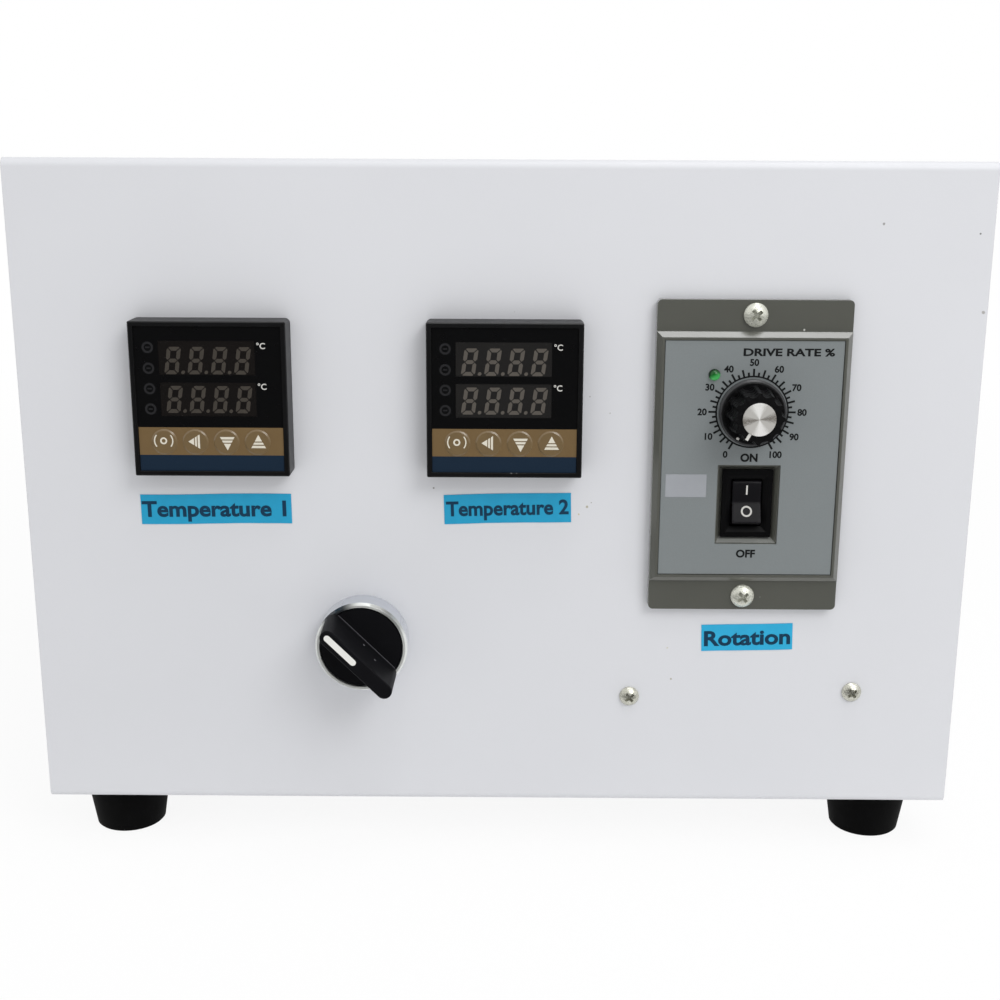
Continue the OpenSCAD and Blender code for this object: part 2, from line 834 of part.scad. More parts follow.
// Bush that the knob's shaft turns in
module speed_knob_bush() {
    color("#b9a25c")
        on_dial()
            difference() {
                translate([0, 0, -unit_back_l]) cylinder(d = bush_d, h = unit_back_l + bush_top_z);
                translate([0, 0, -unit_back_l - overrun])
                    cylinder(d = shaft_d + 2 * turn_gap, h = unit_back_l + bush_top_z + 2 * overrun);
            }
}

module speed_knob_shaft() {
    color("silver")
        on_dial() translate([0, 0, -unit_back_l]) cylinder(d = shaft_d, h = unit_back_l + shaft_top_z);
}

// Knob with a bevelled skirt and a fluted, tapering grip
module speed_knob_grip() {
    color("#141414")
        on_dial()
            rotate([0, 0, dial_rest])
                translate([0, 0, knob_z])
                    difference() {
                        union() {
                            rotate_extrude()
                                polygon([
                                    [0, 0], [skirt_d / 2, 0], [skirt_d / 2, skirt_h - skirt_bevel],
                                    [skirt_d / 2 - skirt_bevel, skirt_h], [0, skirt_h]
                                ]);
                            difference() {
                                translate([0, 0, skirt_h])
                                    cylinder(d1 = grip_base_d, d2 = grip_top_d, h = grip_h);
                                for (i = [0 : flute_count - 1])
                                    rotate([0, 0, (i + 1 / 2) * 360 / flute_count])
                                        translate([0, (grip_base_d + flute_d) / 2 - flute_depth, skirt_h])
                                            rotate([grip_lean, 0, 0])
                                                cylinder(d = flute_d, h = knob_h);
                            }
                        }
                        translate([0, 0, knob_h + cap_proud - cap_t])
                            cylinder(d = cap_d, h = cap_t + overrun);
                        translate([0, 0, -overrun])
                            cylinder(d = shaft_d, h = shaft_top_z - knob_z + overrun);
                        translate([0, 0, -overrun])
                            cylinder(
                                d = bush_d + 2 * free_gap,
                                h = bush_proud - skirt_gap + free_gap + overrun
                            );
                    }
}

module speed_knob_cap() {
    color("gainsboro")
        on_dial() translate([0, 0, knob_top_z + cap_proud - cap_t]) cylinder(d = cap_d, h = cap_t);
}

// Frame of the switch, with a sloping mouth and a well for the paddle
module rocker_frame() {
    mouth_w = well_w + 2 * frame_slope;
    mouth_h = well_h + 2 * frame_slope;
    color("#0f0f11")
        on_rocker()
            difference() {
                union() {
                    translate([0, 0, pocket_floor_z])
                        linear_extrude(frame_t) square([frame_w, frame_h], center = true);
                    translate([0, 0, pocket_floor_z - switch_l])
                        linear_extrude(switch_l + frame_t) square([switch_w, switch_h], center = true);
                }
                translate([0, 0, frame_front_z])
                    sloping_pocket(mouth_w, mouth_h, frame_slope_depth, frame_slope);
                translate([0, 0, well_floor_z])
                    linear_extrude(frame_front_z - well_floor_z) square([well_w, well_h], center = true);
                translate([0, 0, pivot_z])
                    rotate([0, 90, 0])
                        cylinder(
                            d = pivot_d + 2 * turn_gap,
                            h = well_w + 2 * (pivot_l + turn_gap),
                            center = true
                        );
            }
}

// Paddle with a shallow V face and round ends about its pivot, upper half pressed in
module rocker_paddle() {
    wing = paddle_r * tan(paddle_lean);
    color("#1b1b20")
        on_rocker()
            translate([0, 0, pivot_z])
                rotate([-paddle_lean, 0, 0]) {
                    rotate([90, 0, 90])
                        linear_extrude(paddle_w, center = true)
                            intersection() {
                                circle(paddle_r);
                                polygon([
                                    [-paddle_r, -paddle_back], [paddle_r, -paddle_back],
                                    [paddle_r, paddle_rise + wing], [0, paddle_rise],
                                    [-paddle_r, paddle_rise + wing]
                                ]);
                            }
                    rotate([0, 90, 0])
                        cylinder(d = pivot_d, h = well_w + 2 * pivot_l, center = true);
                }
}

// Chrome collar, a cup that the disc turns in
module selector_collar() {
    color("lightgray")
        on_selector()
            rotate_extrude()
                polygon([
                    [barrel_d / 2, 0], [collar_d / 2, 0],
                    [collar_d / 2, collar_proud - collar_slope_h], [collar_front_d / 2, collar_proud],
                    [cup_d / 2, collar_proud], [cup_d / 2, collar_back_t], [barrel_d / 2, collar_back_t]
                ]);
}

// Threaded barrel through the panel, bored for the shaft
module selector_barrel() {
    color("#2a2a2c")
        on_selector()
            difference() {
                translate([0, 0, -barrel_l]) cylinder(d = barrel_d, h = barrel_l + collar_back_t);
                translate([0, 0, -barrel_l - overrun])
                    cylinder(
                        d = selector_shaft_d + 2 * turn_gap,
                        h = barrel_l + collar_back_t + 2 * overrun
                    );
            }
}

module selector_nut() {
    color("#2a2a2c")
        on_selector()
            translate([0, 0, -sheet_t - nut_t])
                difference() {
                    cylinder(d = nut_d, h = nut_t);
                    translate([0, 0, -overrun]) cylinder(d = barrel_d, h = nut_t + 2 * overrun);
                }
}

// Lever with round ends, narrower at its ridge
module lever() {
    run = lever_l - lever_w;
    half = [
        [0, lever_base_z], [lever_foot_w / 2, lever_base_z], [lever_w / 2, lever_reach - lever_bevel],
        [lever_w / 2 - lever_bevel, lever_reach], [0, lever_reach]
    ];
    for (s = [-1, 1])
        translate([0, s * run / 2, 0]) rotate_extrude() polygon(half);
    rotate([90, 0, 0])
        linear_extrude(run, center = true) {
            polygon(half);
            mirror([1, 0]) polygon(half);
        }
}

module mark_place() {
    translate([0, lever_l / 2 - mark_inset - mark_l / 2, 0]) children();
}

// Turning disc with a lever that reaches over the collar, and the shaft behind it
module selector_lever() {
    color("#111214")
        on_selector()
            rotate([0, 0, selector_rest]) {
                translate([0, 0, disc_back_z]) cylinder(d = disc_d, h = disc_front_z - disc_back_z);
                translate([0, 0, -barrel_l]) cylinder(d = selector_shaft_d, h = barrel_l + disc_back_z);
                translate([0, 0, disc_front_z - neck_lap])
                    linear_extrude(lever_base_z - disc_front_z + 2 * neck_lap)
                        intersection() {
                            circle(d = disc_d - 2 * neck_lap);
                            slot(lever_l, lever_foot_w);
                        }
                difference() {
                    lever();
                    translate([0, 0, lever_reach - mark_t])
                        linear_extrude(mark_t + overrun) mark_place() slot(mark_l, mark_w);
                }
            }
}

module selector_mark() {
    color("white")
        on_selector()
            rotate([0, 0, selector_rest])
                translate([0, 0, lever_reach - mark_t])
                    linear_extrude(mark_t) mark_place() slot(mark_l, mark_w);
}

module panel_screws() {
    color("silver") {
        on_panel(left_screw_x, left_screw_z)
            screw(small_head_d, small_head_h, small_shank_d, sheet_t + shank_end);
        on_panel(right_screw_x, right_screw_z)
            screw(small_head_d, small_head_h, small_shank_d, sheet_t + shank_end);
    }
}

// Hexagon and thread of a cable gland, with its nut inside the cover
module gland_body() {
    color("#202022")
        difference() {
            union() {
                cylinder(d = gland_hex_d, h = gland_hex_t, $fn = 6);
                translate([0, 0, -sheet_t - gland_nut_t])
                    cylinder(d = gland_thread_d, h = sheet_t + gland_nut_t);
                translate([0, 0, -sheet_t - gland_nut_t])
                    cylinder(d = gland_hex_d, h = gland_nut_t, $fn = 6);
            }
            translate([0, 0, -sheet_t - gland_nut_t - overrun])
                cylinder(d = gland_bore_d, h = sheet_t + gland_nut_t + gland_hex_t + 2 * overrun);
        }
}

// Round cap of a cable gland
module gland_cap() {
    color("#202022")
        translate([0, 0, gland_hex_t])
            difference() {
                union() {
                    cylinder(d = gland_cap_d, h = gland_cap_l - gland_cap_r);
                    translate([0, 0, gland_cap_l - gland_cap_r])
                        rotate_extrude() {
                            square([gland_cap_d / 2 - gland_cap_r, gland_cap_r]);
                            translate([gland_cap_d / 2 - gland_cap_r, 0])
                                intersection() {
                                    circle(gland_cap_r);
                                    square(gland_cap_r);
                                }
                        }
                }
                translate([0, 0, -overrun])
                    cylinder(d = gland_bore_d, h = gland_cap_l + 2 * overrun);
            }
}

module left_gland_body() {
    on_cover(-gland_x, gland_z) gland_body();
}

module left_gland_cap() {
    on_cover(-gland_x, gland_z) gland_cap();
}

module right_gland_body() {
    on_cover(gland_x, gland_z) gland_body();
}

module right_gland_cap() {
    on_cover(gland_x, gland_z) gland_cap();
}

folded_case();
left_side_plate();
right_side_plate();
rear_cover();
rear_cover_screws();
front_left_foot();
front_right_foot();
rear_left_foot();
rear_right_foot();
foot_screws();
left_controller_case();
left_controller_face();
left_controller_display();
left_controller_keys();
middle_controller_case();
middle_controller_face();
middle_controller_display();
middle_controller_keys();
speed_unit_body();
speed_unit_faceplate();
speed_unit_screws();
speed_lamp();
speed_knob_bush();
speed_knob_shaft();
speed_knob_grip();
speed_knob_cap();
rocker_frame();
rocker_paddle();
selector_collar();
selector_barrel();
selector_nut();
selector_lever();
selector_mark();
panel_screws();
left_gland_body();
left_gland_cap();
right_gland_body();
right_gland_cap();
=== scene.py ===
import json
import math
import bmesh
import bpy
from mathutils import Matrix, Vector


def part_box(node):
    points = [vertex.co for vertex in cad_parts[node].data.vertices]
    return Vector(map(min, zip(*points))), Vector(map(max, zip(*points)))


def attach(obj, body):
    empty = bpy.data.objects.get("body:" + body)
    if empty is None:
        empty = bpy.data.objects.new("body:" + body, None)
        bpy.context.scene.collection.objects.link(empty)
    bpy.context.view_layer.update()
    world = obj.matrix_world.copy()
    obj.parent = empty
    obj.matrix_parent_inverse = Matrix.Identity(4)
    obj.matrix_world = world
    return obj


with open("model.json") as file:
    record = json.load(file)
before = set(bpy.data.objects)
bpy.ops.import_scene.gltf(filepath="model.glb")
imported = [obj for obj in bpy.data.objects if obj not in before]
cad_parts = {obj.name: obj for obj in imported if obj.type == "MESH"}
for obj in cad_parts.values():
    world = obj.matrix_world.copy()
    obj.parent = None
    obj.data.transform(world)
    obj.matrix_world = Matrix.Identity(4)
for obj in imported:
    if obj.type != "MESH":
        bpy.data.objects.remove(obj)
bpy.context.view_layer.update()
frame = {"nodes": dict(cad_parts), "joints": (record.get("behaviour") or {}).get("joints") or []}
nodes = frame["nodes"]
mm = 0.001
caseLow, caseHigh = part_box("folded_case")
print("frame:", len(nodes), "nodes")


def spot(x, z, out=0.0):  # point in mm: X, height above the panel's lower edge, distance off the panel
    return Vector((x * mm, caseLow.y - out * mm, caseLow.z + z * mm))


def middle(node):
    low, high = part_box(node)
    return (low + high) / 2


def rgb(red, green, blue):  # screen colour, 0 to 255, as Blender's linear colour
    parts = [part / 255 for part in (red, green, blue)]
    return tuple(p / 12.92 if p <= 0.04045 else ((p + 0.055) / 1.055) ** 2.4 for p in parts) + (1.0,)


class Wire:  # a socket's value, so that shader maths reads as plain sums
    def __init__(self, tree, socket):
        self.tree = tree
        self.socket = socket

    def __add__(self, other):
        return self.tree.maths("ADD", self, other)

    def __radd__(self, other):
        return self.tree.maths("ADD", other, self)

    def __sub__(self, other):
        return self.tree.maths("SUBTRACT", self, other)

    def __rsub__(self, other):
        return self.tree.maths("SUBTRACT", other, self)

    def __mul__(self, other):
        return self.tree.maths("MULTIPLY", self, other)

    def __rmul__(self, other):
        return self.tree.maths("MULTIPLY", other, self)

    def __gt__(self, other):
        return self.tree.maths("GREATER_THAN", self, other)

    def __lt__(self, other):
        return self.tree.maths("LESS_THAN", self, other)


class Tree:  # node tree of a finish, the floor or the world
    def __init__(self, owner):
        owner.use_nodes = True
        self.nodes = owner.node_tree.nodes
        self.links = owner.node_tree.links
        self.nodes.clear()

    def add(self, kind, settings=None, values=None):
        node = self.nodes.new(kind)
        for key, value in (settings or {}).items():
            setattr(node, key, value)
        for key, value in (values or {}).items():
            if isinstance(value, Wire):
                self.links.new(value.socket, node.inputs[key])
            else:
                node.inputs[key].default_value = value
        return node

    def get(self, kind, settings=None, values=None, output=0):
        return Wire(self, self.add(kind, settings, values).outputs[output])

    def maths(self, operation, first, second=0.0):
        return self.get("ShaderNodeMath", {"operation": operation}, {0: first, 1: second})

    def vectorMaths(self, operation, first, second=(0, 0, 0), output=0):
        return self.get("ShaderNodeVectorMath", {"operation": operation}, {0: first, 1: second}, output)

    def mix(self, factor, first, second):  # first colour at 0, second at 1
        return self.get("ShaderNodeMix", {"data_type": "RGBA"}, {0: factor, 6: first, 7: second}, 2)

    def ramp(self, value, start, end):  # 0 at start, 1 at end, smooth between
        values = {"Value": value, "From Min": start, "From Max": end}
        return self.get("ShaderNodeMapRange", {"interpolation_type": "SMOOTHSTEP"}, values)

    def seenWhite(self):  # 1 for rays that look at the background, straight, mirrored or through glass
        path = self.add("ShaderNodeLightPath")
        kinds = ("Is Camera Ray", "Is Glossy Ray", "Is Transmission Ray")
        straight, mirrored, through = [Wire(self, path.outputs[kind]) for kind in kinds]
        return self.maths("MAXIMUM", self.maths("MAXIMUM", straight, mirrored), through)


class Finish(Tree):  # material with one Principled shader on Object coordinates
    def __init__(self, name):
        self.material = bpy.data.materials.new(name)
        super().__init__(self.material)
        self.shader = self.add("ShaderNodeBsdfPrincipled")
        self.add("ShaderNodeOutputMaterial", {}, {"Surface": Wire(self, self.shader.outputs["BSDF"])})
        self.place = self.get("ShaderNodeTexCoord", output="Object")

    def feed(self, **inputs):  # shader inputs, with underscores for spaces
        for key, value in inputs.items():
            socket = self.shader.inputs[key.replace("_", " ")]
            if isinstance(value, Wire):
                self.links.new(value.socket, socket)
            else:
                socket.default_value = value

    def noise(self, size, detail=2.0, stretch=(1, 1, 1)):  # size of a blotch in mm
        place = self.get("ShaderNodeMapping", {}, {"Vector": self.place, "Scale": stretch})
        values = {"Vector": place, "Scale": 1 / (size * mm), "Detail": detail}
        return self.get("ShaderNodeTexNoise", {}, values)

    def shift(self, centre):
        return self.vectorMaths("SUBTRACT", self.place, centre)

    def along(self, centre=(0, 0, 0)):  # X, Y and Z in mm from a centre given in metres
        parts = self.add("ShaderNodeSeparateXYZ", {}, {0: self.shift(centre)})
        return [Wire(self, parts.outputs[axis]) * 1000 for axis in range(3)]

    def spots(self, colour, marks, wander):  # specks of dirt: centre in metres, radius in mm, colour
        core, fringe = 0.05, 0.25  # a speck fades between these, in mm past its radius
        for centre, size, tint in marks:
            away = self.vectorMaths("DISTANCE", self.place, centre, "Value") * 1000 + wander
            colour = self.mix(self.ramp(away, size + fringe, size + core), colour, rgb(*tint))
        return colour

    def inside(self, low, high, facing):  # 1 on the faces in a box, given in metres, that face about one way
        least = 0.7
        normal = self.get("ShaderNodeNewGeometry", output="Normal")
        share = self.vectorMaths("DOT_PRODUCT", normal, facing, "Value") > least
        for part, start, end in zip(self.along(), low, high):
            share = share * (part > start / mm) * (part < end / mm)
        return share

    def relief(self, height, depth, edge=0.0):  # depth of the relief and softness of edges, in mm
        values = {"Height": height, "Distance": depth * mm, "Strength": 1.0}
        if edge:
            values["Normal"] = self.get("ShaderNodeBevel", {"samples": 4}, {"Radius": edge * mm})
        self.feed(Normal=self.get("ShaderNodeBump", {}, values))


def paintFinish():
    look = {
        "colour": (222, 223, 227), "shade": (216, 217, 221), "cloud": 70, "peel": 1.3, "peelDepth": 0.012,
        "rough": 0.34, "roughSpread": 0.16, "roughSize": 18, "edge": 0.35, "wander": 0.4, "wanderSize": 0.6,
        "marks": [  # small marks on the front: X and height above the panel's lower edge, size, colour
            (29.6, 103.2, 0.22, (150, 148, 140)), (25.7, 99.3, 0.30, (196, 186, 150)),
            (28.3, 101.8, 0.45, (176, 170, 150)), (-20.5, 107.7, 0.28, (146, 144, 140)),
            (4.8, 163.5, 0.18, (178, 178, 178)), (28.5, 137.3, 0.22, (180, 180, 180)),
            (34.9, 132.1, 0.25, (184, 183, 180)), (57.0, 43.7, 0.35, (176, 172, 160)),
            (55.4, 54.5, 0.35, (205, 203, 188)), (116.3, 190.6, 0.42, (158, 157, 156)),
            (145.7, 187.8, 0.32, (104, 104, 104)), (148.7, 164.1, 0.55, (172, 170, 168)),
        ],
    }
    finish = Finish("whitePaint")
    cloud = finish.noise(look["cloud"], 3)
    colour = finish.mix(cloud, rgb(*look["colour"]), rgb(*look["shade"]))
    marks = [(spot(x, z), size, tint) for x, z, size, tint in look["marks"]]
    colour = finish.spots(colour, marks, finish.noise(look["wanderSize"]) * look["wander"])
    rough = look["rough"] + look["roughSpread"] * finish.noise(look["roughSize"], 4)
    finish.feed(Base_Color=colour, Roughness=rough)
    finish.relief(finish.noise(look["peel"]), look["peelDepth"], look["edge"])
    return finish.material


def mouldedFinish(name, look):  # plastics and rubber
    wander, wanderSize = 0.3, 0.5
    finish = Finish(name)
    cloud = finish.noise(look["cloud"], 4)
    colour = finish.mix(cloud, rgb(*look["colour"]), rgb(*look["shade"]))
    if "paintedHighlight" in look:  # painted highlight: faces inside a box that face about one way get a lighter colour, standing for light falling on them
        colour = finish.mix(finish.inside(*look["paintedHighlight"][:3]), colour, rgb(*look["paintedHighlight"][3]))
    if "marks" in look:
        colour = finish.spots(colour, look["marks"], finish.noise(wanderSize) * wander)
    finish.feed(
        Base_Color=colour, Roughness=look["rough"] + look["roughSpread"] * (cloud - 0.5),
        Specular_IOR_Level=look["gloss"], Coat_Weight=look.get("coat", 0.0),
        Coat_Roughness=look.get("coatRough", 0.1),
    )
    finish.relief(finish.noise(look["grain"]), look["grainDepth"], look["edge"])
    return finish.material


def metalFinish(name, look):
    finish = Finish(name)
    cloud = finish.noise(look["cloud"], 4)
    scratch = finish.noise(look["scratch"], 3, look["stretch"])
    finish.feed(
        Base_Color=finish.mix(cloud, rgb(*look["colour"]), rgb(*look["shade"])), Metallic=look["metal"],
        Roughness=look["rough"] + look["roughSpread"] * scratch,
    )
    finish.relief(scratch, look["scratchDepth"], look["edge"])
    return finish.material


whitePaint = paintFinish()
rubber = mouldedFinish("rubber", {
    "colour": (3, 3, 4), "shade": (6, 6, 6), "cloud": 6, "grain": 0.7, "grainDepth": 0.03,
    "rough": 0.7, "roughSpread": 0.2, "gloss": 0.06, "edge": 0.4,
})
blackCase = mouldedFinish("blackCase", {
    "colour": (11, 11, 12), "shade": (16, 16, 18), "cloud": 9, "grain": 0.35, "grainDepth": 0.01,
    "rough": 0.42, "roughSpread": 0.12, "gloss": 0.45, "edge": 0.2,
    "marks": [
        (spot(4.05, 114.56, 8.1), 0.25, (150, 150, 150)),
        (spot(5.72, 114.57, 8.1), 0.2, (130, 130, 130)),
    ],
})
frameLow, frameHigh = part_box("rocker_frame")
sillReach, sillOut, sillTop = 2.2 * mm, 6 * mm, 0.1 * mm
# the rocker pocket's lower wall, whose upward face greyMoulding paints lighter: a painted highlight of the
# light from above
pocketSill = (
    Vector((frameLow.x - sillReach, caseLow.y - sillOut, frameLow.z - sillReach)),
    Vector((frameHigh.x + sillReach, caseLow.y, frameLow.z + sillTop)),
    (0, -0.45, 0.89),
)
greyMoulding = mouldedFinish("greyMoulding", {
    "colour": (92, 93, 86), "shade": (86, 87, 80), "cloud": 12, "grain": 0.4, "grainDepth": 0.006,
    "rough": 0.3, "roughSpread": 0.1, "gloss": 0.8, "edge": 0.2, "coat": 1.0, "coatRough": 0.2,
    # painted highlight on the upward face of the pocket's lower wall
    "paintedHighlight": (*pocketSill, (142, 144, 140)),
    "marks": [
        (spot(93.43, 158.8, 3.0), 0.3, (205, 205, 202)),
        (spot(84.2, 73.05, 3.0), 0.2, (128, 128, 122)),
    ],
})
rockerPlastic = mouldedFinish("rockerPlastic", {
    "colour": (12, 12, 13), "shade": (15, 15, 16), "cloud": 5, "grain": 0.4, "grainDepth": 0.006,
    "rough": 0.45, "roughSpread": 0.1, "gloss": 0.08, "edge": 0.2,
})
paddlePlastic = mouldedFinish("paddlePlastic", {
    "colour": (19, 18, 21), "shade": (23, 22, 26), "cloud": 5, "grain": 0.4, "grainDepth": 0.006,
    "rough": 0.36, "roughSpread": 0.1, "gloss": 0.3, "edge": 1.0,
})
# strip along the foot of the lever's upper flank, painted lighter: a painted highlight line
rootStart, rootEnd = 8.6 * mm, 9.4 * mm
leverRoot = (
    Vector((caseLow.x, caseLow.y - rootEnd, caseLow.z)),
    Vector((caseHigh.x, caseLow.y - rootStart, caseHigh.z)),
    (0.71, 0, 0.71),
)
selectorPlastic = mouldedFinish("selectorPlastic", {
    "colour": (18, 18, 20), "shade": (22, 22, 25), "cloud": 6, "grain": 0.4, "grainDepth": 0.006,
    "rough": 0.45, "roughSpread": 0.1, "gloss": 0.05, "edge": 0.1,
    # painted highlight along the foot of the lever's upper flank
    "paintedHighlight": (*leverRoot, (84, 84, 88)),
    "marks": [
        (spot(-42.22, 59.57, 13.0), 0.35, (130, 130, 134)),
        (spot(-38.5, 55.79, 16.3), 0.35, (126, 126, 130)),
    ],
})
glandNylon = mouldedFinish("glandNylon", {
    "colour": (24, 24, 25), "shade": (31, 31, 32), "cloud": 7, "grain": 0.5, "grainDepth": 0.015,
    "rough": 0.5, "roughSpread": 0.12, "gloss": 0.5, "edge": 0.3,
})
whiteFill = mouldedFinish("whiteFill", {
    "colour": (236, 236, 232), "shade": (226, 226, 220), "cloud": 2, "grain": 0.3, "grainDepth": 0.01,
    "rough": 0.45, "roughSpread": 0.1, "gloss": 0.4, "edge": 0.0,
})
screwSteel = {
    "cloud": 1.2, "scratch": 0.9, "stretch": (1, 1, 1.6), "rough": 0.16, "roughSpread": 0.24,
    "scratchDepth": 0.16, "edge": 0.25,
}
brightZinc = metalFinish("brightZinc", {
    **screwSteel, "colour": (228, 229, 218), "shade": (198, 199, 186), "metal": 0.45,
})
zincSteel = metalFinish("zincSteel", {
    **screwSteel, "colour": (222, 222, 212), "shade": (182, 181, 166), "metal": 0.72,
})
brass = metalFinish("brass", {
    "colour": (196, 168, 104), "shade": (170, 142, 84), "cloud": 3, "scratch": 0.4, "stretch": (1, 8, 1),
    "metal": 1.0, "rough": 0.28, "roughSpread": 0.2, "scratchDepth": 0.01, "edge": 0.1,
})
print("plain finishes made")


def bandFinish(name, centre):  # glossy black face with a brown band behind the keys and a blue one below
    look = {
        "black": (13, 13, 14), "brown": (118, 96, 63), "brownShade": (109, 88, 58), "blue": (18, 39, 59),
        "halfWidth": 22.3, "bandTop": -8.7, "bandJoin": -17.4, "bandBottom": -22.4, "cloud": 8,
        "rough": 0.24, "roughSpread": 0.1, "roughSize": 3, "brownRough": 0.12, "blueRough": 0.25,
        "gloss": 0.2, "ripple": 4, "rippleDepth": 0.01,
    }
    finish = Finish(name)
    x, _, z = finish.along(centre)
    across = finish.maths("ABSOLUTE", x) < look["halfWidth"]
    brown = across * (z < look["bandTop"]) * (z > look["bandJoin"])
    blue = across * (z < look["bandJoin"]) * (z > look["bandBottom"])
    foil = finish.mix(finish.noise(look["cloud"], 3), rgb(*look["brown"]), rgb(*look["brownShade"]))
    colour = finish.mix(brown, rgb(*look["black"]), foil)
    colour = finish.mix(blue, colour, rgb(*look["blue"]))
    rough = look["rough"] + look["roughSpread"] * finish.noise(look["roughSize"], 3)
    rough = rough + look["brownRough"] * brown + look["blueRough"] * blue
    finish.feed(Base_Color=colour, Roughness=rough, Specular_IOR_Level=look["gloss"])
    finish.relief(finish.noise(look["ripple"]), look["rippleDepth"])
    return finish.material


def displayFinish(name, colour, shade):  # smoked window
    look = {"cloud": 10, "rough": 0.14, "roughSpread": 0.1, "gloss": 0.4, "ripple": 6, "rippleDepth": 0.004}
    finish = Finish(name)
    cloud = finish.noise(look["cloud"], 2)
    finish.feed(
        Base_Color=finish.mix(cloud, rgb(*colour), rgb(*shade)), Specular_IOR_Level=look["gloss"],
        Roughness=look["rough"] + look["roughSpread"] * cloud,
    )
    finish.relief(finish.noise(look["ripple"]), look["rippleDepth"])
    return finish.material


def keyFinish():  # domes of the key foil
    look = {
        "colour": (120, 99, 65), "shade": (111, 91, 60), "cloud": 5, "rough": 0.28, "roughSpread": 0.12,
        "gloss": 0.5, "coat": 0.4, "coatRough": 0.15, "grain": 0.5, "grainDepth": 0.003,
    }
    finish = Finish("keyFoil")
    cloud = finish.noise(look["cloud"], 3)
    finish.feed(
        Base_Color=finish.mix(cloud, rgb(*look["colour"]), rgb(*look["shade"])),
        Roughness=look["rough"] + look["roughSpread"] * cloud, Specular_IOR_Level=look["gloss"],
        Coat_Weight=look["coat"], Coat_Roughness=look["coatRough"],
    )
    finish.relief(finish.noise(look["grain"]), look["grainDepth"])
    return finish.material


def faceplateFinish():  # silver grey lacquer with a fine metallic fleck
    look = {
        "dark": (131, 137, 138), "light": (147, 153, 154), "veil": (140, 146, 148), "veilShare": 0.5,
        "fleck": 0.25, "fleckDepth": 0.003, "cloud": 25, "rough": 0.34, "roughSpread": 0.12, "metal": 0.2,
        "edge": 0.1,
    }
    finish = Finish("faceplateLacquer")
    fleck = finish.noise(look["fleck"], 1)
    cloud = finish.noise(look["cloud"], 3)
    colour = finish.mix(fleck, rgb(*look["dark"]), rgb(*look["light"]))
    colour = finish.mix(cloud * look["veilShare"], colour, rgb(*look["veil"]))
    rough = look["rough"] + look["roughSpread"] * cloud
    finish.feed(Base_Color=colour, Roughness=rough, Metallic=look["metal"])
    finish.relief(fleck, look["fleckDepth"], look["edge"])
    return finish.material


def lampFinish(centre):  # green lens with painted light and shade: lighter below, darker above and a painted shade at its upper rim
    look = {
        "clear": (84, 196, 104), "shadedGreen": (8, 84, 24), "rim": (8, 38, 14), "up": 0.9, "left": 0.35,
        "shadeFade": (-1.2, 0.8), "rimFade": (1.2, 1.75), "rimUp": (-0.8, 0.6), "cloud": 2, "rough": 0.06,
        "roughSpread": 0.05, "gloss": 0.4, "ripple": 0.8, "rippleDepth": 0.004,
    }
    finish = Finish("lampLens")
    x, _, z = finish.along(centre)
    # painted shading: darker towards the upper left, lighter towards the lower right
    height = z * look["up"] - x * look["left"]
    colour = finish.mix(finish.ramp(height, *look["shadeFade"]), rgb(*look["clear"]), rgb(*look["shadedGreen"]))
    radius = finish.maths("SQRT", x * x + z * z)
    rim = finish.ramp(radius, *look["rimFade"]) * finish.ramp(height, *look["rimUp"])
    finish.feed(
        Base_Color=finish.mix(rim, colour, rgb(*look["rim"])), Specular_IOR_Level=look["gloss"],
        Roughness=look["rough"] + look["roughSpread"] * finish.noise(look["cloud"], 2),
    )
    finish.relief(finish.noise(look["ripple"]), look["rippleDepth"])
    return finish.material


def knobFinish(centre):  # black plastic, dull on the grip and polished on the skirt's bevel, whose lighter grey is a painted highlight
    look = {
        "grip": (15, 15, 16), "gripShade": (20, 20, 21), "skirt": (54, 54, 56), "skirtFade": (9.6, 10.0),
        "cloud": 4, "wave": 1.8, "waveDepth": 0.6, "rough": 0.3, "roughSpread": 0.1, "gloss": 0.1,
        "coat": 0.07, "skirtCoat": 0.63, "coatRough": 0.32, "edge": 0.2,
    }
    finish = Finish("knobPlastic")
    x, _, z = finish.along(centre)
    # the skirt's bevel gets a lighter grey: painted highlight
    skirt = finish.ramp(finish.maths("SQRT", x * x + z * z), *look["skirtFade"])
    cloud = finish.noise(look["cloud"], 4)
    grip = finish.mix(cloud, rgb(*look["grip"]), rgb(*look["gripShade"]))
    finish.feed(
        Base_Color=finish.mix(skirt, grip, rgb(*look["skirt"])),
        Roughness=look["rough"] + look["roughSpread"] * cloud, Specular_IOR_Level=look["gloss"],
        Coat_Weight=look["coat"] + look["skirtCoat"] * skirt, Coat_Roughness=look["coatRough"],
    )
    finish.relief(finish.noise(look["wave"], 1) * (1 - skirt), look["waveDepth"], look["edge"])
    return finish.material


